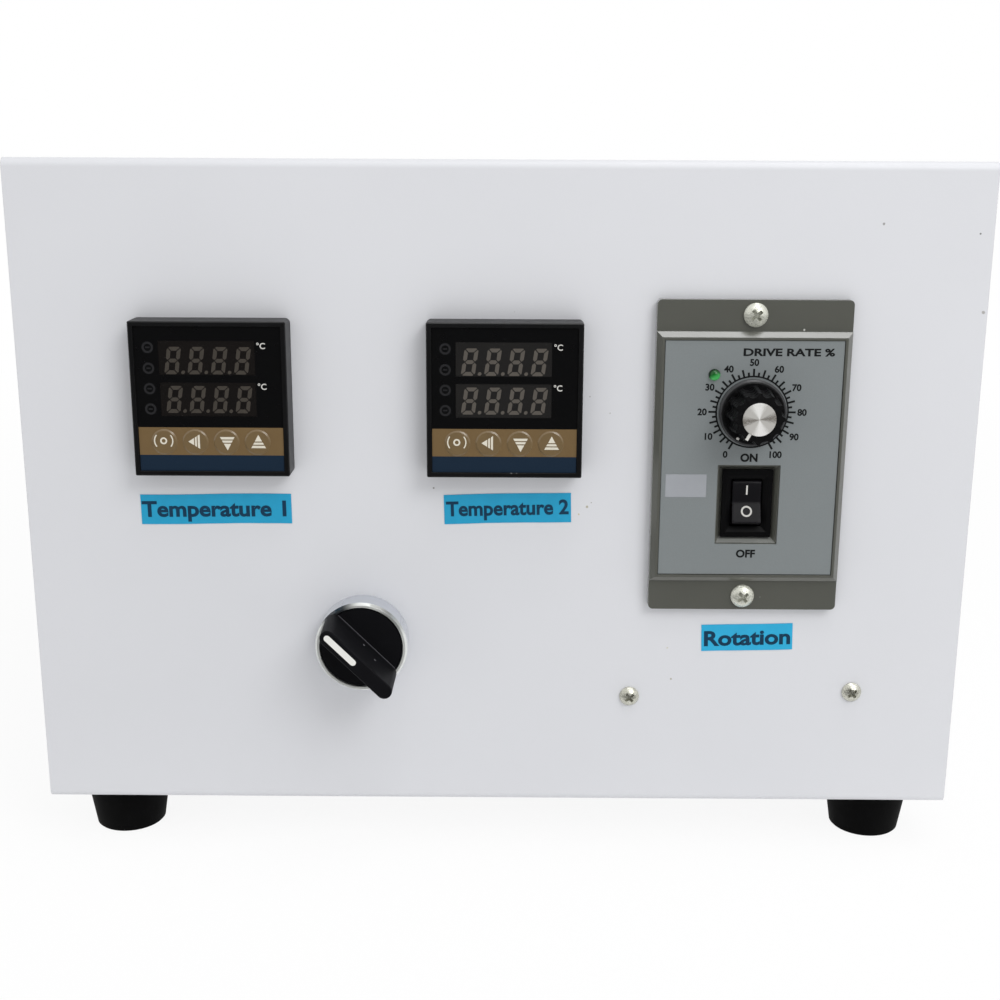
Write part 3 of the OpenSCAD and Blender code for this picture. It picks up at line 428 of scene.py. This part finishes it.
def chromeFinish(centre):  # polished collar; its rim's colour is a painted reflection, bright with painted dark bands for dark parts of a room
    look = {
        "wall": (196, 200, 207), "rim": (243, 245, 241), "dark": (62, 66, 70), "rimFade": (-7.9, -8.1),
        "darkReflections": [(2.2, 0.55, 1.0), (0.72, 0.5, 0.5)],  # angle and half width in radians, share of the painted dark reflection
        "metal": 0.45, "rough": 0.06, "roughSpread": 0.08, "coat": 0.6, "coatRough": 0.05,
        "scratch": 2.0, "stretch": (1, 6, 1), "scratchDepth": 0.002, "edge": 0.15,
    }
    finish = Finish("chrome")
    x, y, z = finish.along(centre)
    angle = finish.maths("ARCTAN2", z, x)
    rim = rgb(*look["rim"])
    for at, wide, share in look["darkReflections"]:
        away = finish.maths("ABSOLUTE", angle - at)
        rim = finish.mix(share * finish.ramp(away, wide, wide / 3), rim, rgb(*look["dark"]))
    scratch = finish.noise(look["scratch"], 3, look["stretch"])
    finish.feed(
        # wall colour, and on the rim the painted reflection
        Base_Color=finish.mix(finish.ramp(y, *look["rimFade"]), rgb(*look["wall"]), rim),
        Metallic=look["metal"], Roughness=look["rough"] + look["roughSpread"] * scratch,
        Coat_Weight=look["coat"], Coat_Roughness=look["coatRough"],
    )
    finish.relief(scratch, look["scratchDepth"], look["edge"])
    return finish.material


def spunFinish(centre):  # turned aluminium with a painted sheen in sectors and fine streaks in its colour; the streaks also vary roughness and relief
    look = {
        "dark": (106, 100, 92), "plain": (196, 194, 189), "bright": (246, 245, 242), "turn": 3.42,
        "darkFade": (-0.08, 0.18), "brightFade": (0.6, 1.05), "streakShare": 0.6, "streakDepth": 0.002,
        "streaks": {"Scale": 30.0, "Detail": 5.0, "Roughness": 0.75},
        "metal": 0.2, "rough": 0.26, "roughSpread": 0.2, "edge": 0.2,
    }
    finish = Finish("spunCap")
    x, _, z = finish.along(centre)
    angle = finish.maths("ARCTAN2", z, x)
    ray = finish.vectorMaths("NORMALIZE", finish.shift(centre))
    streak = finish.get("ShaderNodeTexNoise", {}, {"Vector": ray, **look["streaks"]})
    # painted sheen: bright and dark sectors by angle round the axis
    sheen = 0.5 + 0.5 * finish.maths("COSINE", 2 * angle - look["turn"])
    sheen = sheen + look["streakShare"] * (streak - 0.5)
    colour = finish.mix(finish.ramp(sheen, *look["darkFade"]), rgb(*look["dark"]), rgb(*look["plain"]))
    colour = finish.mix(finish.ramp(sheen, *look["brightFade"]), colour, rgb(*look["bright"]))
    rough = look["rough"] + look["roughSpread"] * streak
    finish.feed(Base_Color=colour, Metallic=look["metal"], Roughness=rough)
    finish.relief(streak, look["streakDepth"], look["edge"])
    return finish.material


def inkFinish(name, colour, shade, rough=0.5):  # printed ink and label film
    look = {"cloud": 4, "roughSpread": 0.15, "gloss": 0.25, "grain": 0.8, "grainDepth": 0.006}
    finish = Finish(name)
    cloud = finish.noise(look["cloud"], 4)
    finish.feed(
        Base_Color=finish.mix(cloud, rgb(*colour), rgb(*shade)), Specular_IOR_Level=look["gloss"],
        Roughness=rough + look["roughSpread"] * (cloud - 0.5),
    )
    finish.relief(finish.noise(look["grain"]), look["grainDepth"])
    return finish.material


dialCentre = middle("speed_knob_cap")
collarMiddle = middle("selector_collar")
byName = {
    "folded_case": whitePaint, "left_side_plate": whitePaint, "right_side_plate": whitePaint,
    "rear_cover": whitePaint, "rear_cover_screws": zincSteel, "foot_screws": zincSteel,
    "panel_screws": zincSteel, "speed_unit_screws": brightZinc, "speed_knob_shaft": zincSteel,
    "speed_knob_bush": brass, "speed_unit_body": greyMoulding, "speed_unit_faceplate": faceplateFinish(),
    "speed_lamp": lampFinish(middle("speed_lamp")), "speed_knob_grip": knobFinish(dialCentre),
    "speed_knob_cap": spunFinish(dialCentre), "rocker_frame": rockerPlastic, "rocker_paddle": paddlePlastic,
    "selector_collar": chromeFinish((collarMiddle.x, caseLow.y, collarMiddle.z)),
    "selector_lever": selectorPlastic, "selector_mark": whiteFill, "selector_barrel": blackCase,
    "selector_nut": blackCase,
}
for corner in ("front_left", "front_right", "rear_left", "rear_right"):
    byName[corner + "_foot"] = rubber
for side in ("left", "right"):
    byName[side + "_gland_body"] = glandNylon
    byName[side + "_gland_cap"] = glandNylon
# the left window is painted darker than the middle one: painted shade on two copies of one part
windowShadeTones = {"left": ((27, 24, 23), (22, 20, 19)), "middle": ((38, 37, 36), (33, 32, 32))}
keyFoil = keyFinish()
for side, tones in windowShadeTones.items():
    byName[side + "_controller_case"] = blackCase
    byName[side + "_controller_face"] = bandFinish(side + "Face", middle(side + "_controller_face"))
    byName[side + "_controller_display"] = displayFinish(side + "Window", *tones)
    byName[side + "_controller_keys"] = keyFoil
for name, node in nodes.items():
    node.data.materials.clear()
    node.data.materials.append(byName[name])
print("finishes on", len(byName), "nodes")

whiteInk = inkFinish("whiteInk", (214, 213, 208), (198, 197, 192))
paleInk = inkFinish("paleInk", (226, 221, 206), (208, 202, 186))
blackInk = inkFinish("blackInk", (18, 20, 21), (28, 30, 31))
dimInk = inkFinish("dimInk", (44, 44, 46), (37, 37, 39), 0.35)
labelFilm = inkFinish("labelFilm", (38, 164, 207), (33, 153, 195), 0.42)
# a brighter tone of the same blue film, used on the drive label
brighterFilm = inkFinish("brighterFilm", (47, 177, 222), (42, 166, 210), 0.42)
labelInk = inkFinish("labelInk", (12, 54, 81), (18, 65, 94), 0.45)
tagFilm = inkFinish("tagFilm", (160, 163, 168), (152, 155, 160), 0.45)

printDepth = 0.03  # thickness of ink in mm
letterCap = 0.7  # height of a capital letter for a text size of 1


def frontAt(centre):  # drawing in mm that faces the front, round a point of the frame
    return Matrix.Translation(centre) @ Matrix.Rotation(math.pi / 2, 4, "X") @ Matrix.Scale(mm, 4)


def turned(degrees):
    return Matrix.Rotation(math.radians(degrees), 4, "Z")


def shifted(x, y, z=0.0):
    return Matrix.Translation((x, y, z))


def raised(bm, faces, depth):  # gives flat faces a thickness
    grown = bmesh.ops.extrude_face_region(bm, geom=faces, use_keep_orig=True)["geom"]
    bmesh.ops.translate(bm, vec=(0, 0, depth), verts=[v for v in grown if isinstance(v, bmesh.types.BMVert)])


def shape(bm, points, place=Matrix(), depth=printDepth):  # flat outline of a few points
    face = bm.faces.new([bm.verts.new(place @ Vector((x, y, 0))) for x, y in points])
    raised(bm, [face], depth)


def bar(bm, width, height, place=Matrix(), depth=printDepth):
    x, y = width / 2, height / 2
    shape(bm, [(-x, -y), (x, -y), (x, y), (-x, y)], place, depth)


def disc(bm, radius, place=Matrix(), steps=20, depth=printDepth):
    made = bmesh.ops.create_circle(bm, cap_ends=True, segments=steps, radius=radius, matrix=place)
    raised(bm, list({face for vert in made["verts"] for face in vert.link_faces}), depth)


def ring(bm, outer, inner, place=Matrix(), sweep=360, steps=48, depth=printDepth):
    first = bm.verts.new(place @ Vector((inner, 0, 0)))
    second = bm.verts.new(place @ Vector((outer, 0, 0)))
    edge = bm.edges.new((first, second))
    spun = bmesh.ops.spin(
        bm, geom=[edge], cent=place @ Vector((0, 0, 0)), axis=place.to_3x3() @ Vector((0, 0, 1)),
        dvec=(0, 0, 0), angle=math.radians(sweep), steps=steps, use_merge=sweep == 360, use_duplicate=False,
    )
    verts = {first, second} | {v for v in spun["geom_last"] if isinstance(v, bmesh.types.BMVert)}
    faces = {f for v in verts for f in v.link_faces}
    grown = set(faces)
    while grown:
        grown = {f for face in grown for e in face.edges for f in e.link_faces} - faces
        faces |= grown
    raised(bm, list(faces), depth)


def linked(name, data):
    thing = bpy.data.objects.new(name, data)
    bpy.context.scene.collection.objects.link(thing)
    return thing


def meshed(name, bm, material):
    mesh = bpy.data.meshes.new(name)
    bm.to_mesh(mesh)
    bm.free()
    mesh.materials.append(material)
    return linked(name, mesh)


def letters(bm, text, cap, place=Matrix(), bold=0.0, wide=0.0, depth=printDepth):  # wide stretches the text
    curve = bpy.data.curves.new("letters", "FONT")
    curve.body = text
    curve.align_x = "CENTER"
    curve.size = cap / letterCap
    curve.offset = bold
    curve.extrude = depth / 2
    curve.resolution_u = 4
    thing = linked("letters", curve)
    mesh = bpy.data.meshes.new_from_object(thing.evaluated_get(bpy.context.evaluated_depsgraph_get()))
    reach = [vert.co.x for vert in mesh.vertices]
    stretch = wide / (max(reach) - min(reach)) if wide else 1.0
    mesh.transform(place @ Matrix.Diagonal((stretch, 1, 1, 1)) @ shifted(0, -cap / 2, depth / 2))
    bm.from_mesh(mesh)
    bpy.data.objects.remove(thing)
    bpy.data.curves.remove(curve)
    bpy.data.meshes.remove(mesh)


def piece(name, bm, place, material, body="housing"):
    bmesh.ops.transform(bm, matrix=place, verts=bm.verts)
    bmesh.ops.remove_doubles(bm, verts=bm.verts, dist=1e-7)
    bmesh.ops.recalc_face_normals(bm, faces=bm.faces)
    thing = meshed(name, bm, material)
    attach(thing, body)


def digitOutlines(look):  # the seven strokes of a digit, with mitred ends
    wide, tall = look["wide"] / 2, look["tall"] / 2
    stroke, gap, cut = look["stroke"], look["gap"], look["cut"]
    half = stroke / 2
    end = wide - half - gap
    level = [(wide - gap - cut, tall), (wide - gap - cut / 2, tall - cut / 2),
             (wide - gap - stroke, tall - stroke)]
    level += [(-x, y) for x, y in reversed(level)]
    upright = [(wide, tall - gap - cut), (wide - cut / 2, tall - gap - cut / 2),
               (wide - stroke, tall - gap - stroke), (wide - stroke, gap + half),
               (wide - half, gap), (wide, gap + half)]
    outlines = [[(-end, 0), (half - end, -half), (end - half, -half),
                 (end, 0), (end - half, half), (half - end, half)]]
    for flip in (1, -1):
        outlines.append([(x, flip * y) for x, y in level])
        outlines += [[(hand * x, flip * y) for x, y in upright] for hand in (1, -1)]
    return outlines


def displayDigits(side, place):  # two rows of unlit digits with points
    look = {
        "wide": 4.3, "tall": 8.4, "stroke": 1.2, "gap": 0.2, "cut": 0.55, "slant": 0.15,
        "across": [-10.7, -3.6, 3.5, 10.6], "rows": [12.0, 0.0], "pointAt": (3.55, -3.6), "point": 0.56,
        # the left digits are painted darker than the middle ones: painted shade on two copies of one part
        "tones": {"left": ((71, 66, 60), (64, 59, 53)), "middle": ((92, 87, 81), (84, 79, 73))},
        "rough": 0.4,
    }
    digits = bmesh.new()
    lean = Matrix(((1, look["slant"], 0, 0), (0, 1, 0, 0), (0, 0, 1, 0), (0, 0, 0, 1)))
    outlines = digitOutlines(look)
    for y in look["rows"]:
        for x in look["across"]:
            at = shifted(x, y) @ lean
            for outline in outlines:
                shape(digits, outline, at)
            if x < look["across"][-1]:
                disc(digits, look["point"], at @ shifted(*look["pointAt"]))
    ink = inkFinish(side + "Segments", *look["tones"][side], look["rough"])
    piece(side + "Digits", digits, place, ink)


def displayLamps(side, place):  # unlit lamps left of the displays, and the legends right of them
    look = {
        "lampX": -18.2, "lampY": [16.0, 9.6, 3.3, -3.0], "ring": (1.755, 1.105), "dash": (1.3, 0.45),
        "legend": "°C", "legendAt": [(16.3, 16.6), (16.3, 4.1)], "legendCap": 1.8, "legendBold": 0.04,
        "steps": 24,
    }
    lamps = bmesh.new()
    for y in look["lampY"]:
        at = shifted(look["lampX"], y)
        ring(lamps, *look["ring"], at, steps=look["steps"])
        bar(lamps, *look["dash"], at)
    piece(side + "Lamps", lamps, place, dimInk)
    legends = bmesh.new()
    for x, y in look["legendAt"]:
        letters(legends, look["legend"], look["legendCap"], shifted(x, y), look["legendBold"])
    piece(side + "Legends", legends, place, whiteInk)


def keySigns(side, place):  # a ring in brackets, then striped triangles
    look = {
        "keyAt": [(-14.7, -12.9), (-5.3, -13.1), (5.0, -13.7), (14.6, -12.95)],
        "bracket": (3.0, 2.62), "bracketSweep": 80, "bracketSteps": 12, "dot": (1.1, 0.6), "dotSteps": 24,
        "tall": 4.2, "slope": 0.54, "sidewaysTall": 0.85,
        "stripes": [(-0.5, -0.32), (-0.24, -0.08), (0.0, 0.5)],
    }
    signs = bmesh.new()
    first, second, third, fourth = [shifted(*at) for at in look["keyAt"]]
    for turn in (0, 180):
        ring(signs, *look["bracket"], first @ turned(turn - look["bracketSweep"] / 2),
             look["bracketSweep"], look["bracketSteps"])
    ring(signs, *look["dot"], first, steps=look["dotSteps"])
    sideways = turned(90) @ Matrix.Diagonal((1, look["sidewaysTall"], 1, 1))
    for at in (second @ sideways, third @ turned(180), fourth):
        for low, high in look["stripes"]:
            lowHalf, highHalf = [(0.5 - share) * look["tall"] * look["slope"] for share in (low, high)]
            bottom, top = low * look["tall"], high * look["tall"]
            tip = [(highHalf, top), (-highHalf, top)] if highHalf else [(0, top)]
            shape(signs, [(-lowHalf, bottom), (lowHalf, bottom), *tip], at)
    piece(side + "KeySigns", signs, place, paleInk)


def controllerPrint(side):  # each in mm from the middle of the face, on the piece that carries it
    faceMiddle = middle(side + "_controller_face")
    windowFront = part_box(side + "_controller_display")[0].y
    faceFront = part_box(side + "_controller_face")[0].y
    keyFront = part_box(side + "_controller_keys")[0].y
    displayDigits(side, frontAt((faceMiddle.x, windowFront, faceMiddle.z)))
    displayLamps(side, frontAt((faceMiddle.x, faceFront, faceMiddle.z)))
    keySigns(side, frontAt((faceMiddle.x, keyFront, faceMiddle.z)))


for side in ("left", "middle"):
    controllerPrint(side)
print("controller prints made")


def dialPrint():  # scale round the knob, switch words, heading and a bare tag, in mm from the dial's axis
    look = {
        "circle": (11.35, 10.85), "circleSteps": 96, "tickStart": 11.2, "longTick": 13.5, "shortTick": 12.4,
        "tickWide": 0.62, "ticks": 40, "longEach": 2, "numberEach": 4, "sweep": 300,
        "numberAt": 15.45, "numberCap": 2.0, "numberBold": 0.1,
        "words": [("ON", (-0.2, -14.4), 0.15), ("OFF", (0.1, -45.5), 0.13)], "wordCap": 2.4,
        "heading": "DRIVE RATE %", "headingAt": (10.4, 18.6), "headingCap": 2.2, "headingBold": 0.11,
        "headingWide": 28.0, "tag": (12.8, 7.3), "tagAt": (-19.6, -23.5), "tagDepth": 0.06,
    }
    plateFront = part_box("speed_unit_faceplate")[0].y
    prints = bmesh.new()
    ring(prints, *look["circle"], steps=look["circleSteps"])
    for tick in range(look["ticks"] + 1):
        turn = look["sweep"] / 2 - tick * look["sweep"] / look["ticks"]
        end = look["longTick"] if tick % look["longEach"] == 0 else look["shortTick"]
        at = turned(turn) @ shifted(0, (end + look["tickStart"]) / 2)
        bar(prints, look["tickWide"], end - look["tickStart"], at)
        if tick % look["numberEach"] == 0:
            angle = math.radians(turn)
            at = shifted(-math.sin(angle) * look["numberAt"], math.cos(angle) * look["numberAt"])
            letters(prints, str(tick * 100 // look["ticks"]), look["numberCap"], at, look["numberBold"])
    for word, at, bold in look["words"]:
        letters(prints, word, look["wordCap"], shifted(*at), bold)
    letters(prints, look["heading"], look["headingCap"], shifted(*look["headingAt"]),
            look["headingBold"], look["headingWide"])
    place = frontAt((dialCentre.x, plateFront, dialCentre.z))
    piece("dialPrint", prints, place, blackInk)

    tag = bmesh.new()
    bar(tag, *look["tag"], shifted(*look["tagAt"]), look["tagDepth"])
    piece("faceplateTag", tag, place, tagFilm)


def knobPointer():  # white stroke on the grip and a spot on the skirt, that point to 0
    look = {
        "top": (5.1, 7.3), "topWide": 0.95, "skirt": (8.75, 9.4), "skirtWide": 0.9, "skirtTall": 2.4,
        "rest": 150,
    }
    low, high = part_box("speed_knob_grip")
    strokes = bmesh.new()
    for (start, end), wide, tall in ((look["top"], look["topWide"], (high.y - low.y) / mm),
                                     (look["skirt"], look["skirtWide"], look["skirtTall"])):
        bar(strokes, wide, end - start, shifted(0, (start + end) / 2, tall))
    place = frontAt((dialCentre.x, high.y, dialCentre.z)) @ turned(look["rest"])
    piece("knobPointer", strokes, place, whiteInk, "speed_knob")


def rockerSigns():  # stroke and ring on the two faces of the paddle
    look = {
        "lean": 10, "rise": 2.0, "strokeAt": 3.9, "stroke": (0.5, 3.0), "ringAt": 2.85, "ring": (1.75, 1.2),
    }
    joint = next(j for j in frame["joints"] if j["name"] == "rocker_tilt")
    lean = math.radians(look["lean"])
    rest = Matrix.Rotation(-lean, 4, "X")
    signs = bmesh.new()
    for half, side in ((look["strokeAt"], 1), (look["ringAt"], -1)):
        height = look["rise"] + half * math.tan(lean)
        at = rest @ shifted(0, side * half, height) @ Matrix.Rotation(side * lean, 4, "X")
        if side > 0:
            bar(signs, *look["stroke"], at)
        else:
            ring(signs, *look["ring"], at)
    piece("rockerSigns", signs, frontAt(joint["pos_m"]), whiteInk, "rocker")


def panelLabel(name, look):  # strip of blue film, with edges that lift and wander a little, and lettering
    film = {
        "cells": (24, 8), "off": 0.05, "lift": 0.03, "liftPower": 12, "liftWave": 0.5, "wander": 0.12,
        "wanderWave": 0.13, "thick": 0.1, "inkOff": 0.15, "inkDepth": 0.08,
    }
    strip = bmesh.new()
    bmesh.ops.create_grid(strip, x_segments=film["cells"][0], y_segments=film["cells"][1], size=0.5)
    bmesh.ops.scale(strip, vec=(look["wide"], look["tall"], 1), verts=strip.verts)
    for vert in strip.verts:
        edge = abs(vert.co.y) / (look["tall"] / 2)
        curl = 1 + math.sin(vert.co.x * film["liftWave"] + look["wave"])
        vert.co.z = film["off"] + film["lift"] * edge ** film["liftPower"] * curl
        vert.co.y += film["wander"] * edge * math.sin(vert.co.x * film["wanderWave"] + look["wave"])
    raised(strip, strip.faces[:], film["thick"])
    place = frontAt(spot(look["x"], look["z"])) @ turned(look["tilt"])
    piece(name + "Film", strip, place, look["film"])
    words = bmesh.new()
    letters(words, look["words"], look["cap"], shifted(0, look["drop"], film["inkOff"]),
            look["bold"], look["fit"], film["inkDepth"])
    piece(name + "Words", words, place, labelInk)


dialPrint()
knobPointer()
rockerSigns()
panelLabel("leftLabel", {
    "x": -89.8, "z": 100.5, "wide": 48.0, "tall": 9.7, "tilt": 0.6, "wave": 0.4, "film": labelFilm,
    "words": "Temperature 1", "cap": 4.9, "drop": 0.1, "bold": 0.2, "fit": 46.0,
})
panelLabel("middleLabel", {
    "x": 3.0, "z": 101.2, "wide": 40.4, "tall": 9.6, "tilt": 1.4, "wave": 2.0, "film": labelFilm,
    "words": "Temperature 2", "cap": 4.6, "drop": 0.2, "bold": 0.18, "fit": 39.0,
})
panelLabel("driveLabel", {
    "x": 81.2, "z": 58.4, "wide": 29.6, "tall": 9.0, "tilt": 1.9, "wave": 3.4, "film": brighterFilm,
    "words": "Rotation", "cap": 4.9, "drop": -0.1, "bold": 0.2, "fit": 28.0,
})
print("prints and labels made")


def floor():  # white floor that keeps a light shadow and doesn't hide the underside from below
    look = {"size": 9.0, "colour": (0.97, 0.97, 0.97, 1), "white": 0.91, "fade": (0.3, 1.1)}
    material = bpy.data.materials.new("floorWhite")
    tree = Tree(material)
    matt = tree.get("ShaderNodeBsdfDiffuse", {}, {"Color": look["colour"]})
    bright = tree.get("ShaderNodeEmission", {}, {"Color": (1, 1, 1, 1), "Strength": 1.0})
    away = tree.vectorMaths("LENGTH", tree.get("ShaderNodeNewGeometry"), output="Value")
    white = look["white"] + (1 - look["white"]) * tree.ramp(away, *look["fade"])
    above = tree.get("ShaderNodeMixShader", {}, {0: tree.seenWhite() * white, 1: matt, 2: bright})
    clear = tree.get("ShaderNodeBsdfTransparent")
    below = tree.get("ShaderNodeNewGeometry", output="Backfacing")
    surface = tree.get("ShaderNodeMixShader", {}, {0: below, 1: above, 2: clear})
    tree.add("ShaderNodeOutputMaterial", {}, {"Surface": surface})
    plane = bmesh.new()
    bmesh.ops.create_grid(plane, x_segments=2, y_segments=2, size=look["size"] / 2)
    ground = meshed("floor", plane, material)


def darkCard():  # dark cloth on the floor and up in front, that only reflections see
    look = {
        "colour": (0.02, 0.02, 0.02, 1), "wide": 3.2, "near": -0.16, "far": -1.7, "low": 0.002, "tall": 1.0,
    }
    material = bpy.data.materials.new("darkCloth")
    tree = Tree(material)
    cloth = tree.get("ShaderNodeBsdfDiffuse", {}, {"Color": look["colour"]})
    tree.add("ShaderNodeOutputMaterial", {}, {"Surface": cloth})
    sheet = bmesh.new()
    ends = [(hand * look["wide"] / 2, look["near"], look["low"]) for hand in (-1, 1)]
    edge = sheet.edges.new([sheet.verts.new(end) for end in ends])
    for step in ((0, look["far"] - look["near"], 0), (0, 0, look["tall"])):
        grown = bmesh.ops.extrude_edge_only(sheet, edges=[edge])["geom"]
        bmesh.ops.translate(sheet, vec=step, verts=[v for v in grown if isinstance(v, bmesh.types.BMVert)])
        edge = next(e for e in grown if isinstance(e, bmesh.types.BMEdge))
    flag = meshed("darkCard", sheet, material)
    flag.visible_camera = False
    flag.visible_diffuse = False
    flag.visible_transmission = False
    flag.visible_shadow = False


def light(name, look):
    lamp = bpy.data.lights.new(name, "AREA")
    lamp.shape = "RECTANGLE"
    lamp.size, lamp.size_y = look["size"]
    lamp.energy = look["power"]
    thing = linked(name, lamp)
    thing.location = look["at"]
    aim = Vector(look["to"]) - Vector(look["at"])
    thing.rotation_euler = aim.to_track_quat("-Z", "Y").to_euler()


def lighting():
    fill = 0.61  # strength of the white all round where it lights the object
    light("keyLight", {"at": (0.9, -1.3, 1.35), "to": (0, 0, 0.12), "size": (0.9, 0.9), "power": 13.0})
    light("topStrip", {
        "at": (0.25, -0.27, 1.26), "to": (0.05, -0.08, 0.15), "size": (1.0, 0.28), "power": 3.4,
    })
    world = bpy.data.worlds.new("studio")
    bpy.context.scene.world = world
    tree = Tree(world)
    strength = fill + (1 - fill) * tree.seenWhite()
    sky = tree.get("ShaderNodeBackground", {}, {"Color": (1, 1, 1, 1), "Strength": strength})
    tree.add("ShaderNodeOutputWorld", {}, {"Surface": sky})
    bpy.context.scene.view_settings.view_transform = "Standard"


def camera():  # stands a little right of the panel's middle, level with the top, and looks down
    look = {
        "lens": 49.14, "sensor": 36, "from": (2.09, -421.30, 208.27),
        "pitch": 13.914, "yaw": -0.205, "roll": 0.281,
    }
    pitch, yaw, roll = [math.radians(look[key]) for key in ("pitch", "yaw", "roll")]
    forward = Vector((math.sin(yaw) * math.cos(pitch), math.cos(yaw) * math.cos(pitch), -math.sin(pitch)))
    right = Vector((math.cos(yaw), -math.sin(yaw), 0))
    up = right.cross(forward)
    right, up = math.cos(roll) * right + math.sin(roll) * up, math.cos(roll) * up - math.sin(roll) * right
    data = bpy.data.cameras.new("camera")
    data.lens = look["lens"]
    data.sensor_width = look["sensor"]
    thing = linked("camera", data)
    place = Matrix((right, up, -forward)).transposed().to_4x4()
    place.translation = Vector(look["from"]) * mm + Vector((0, caseLow.y, caseLow.z))
    thing.matrix_world = place
    bpy.context.scene.camera = thing


floor()
darkCard()
lighting()
camera()
print("stage, lights and camera set")
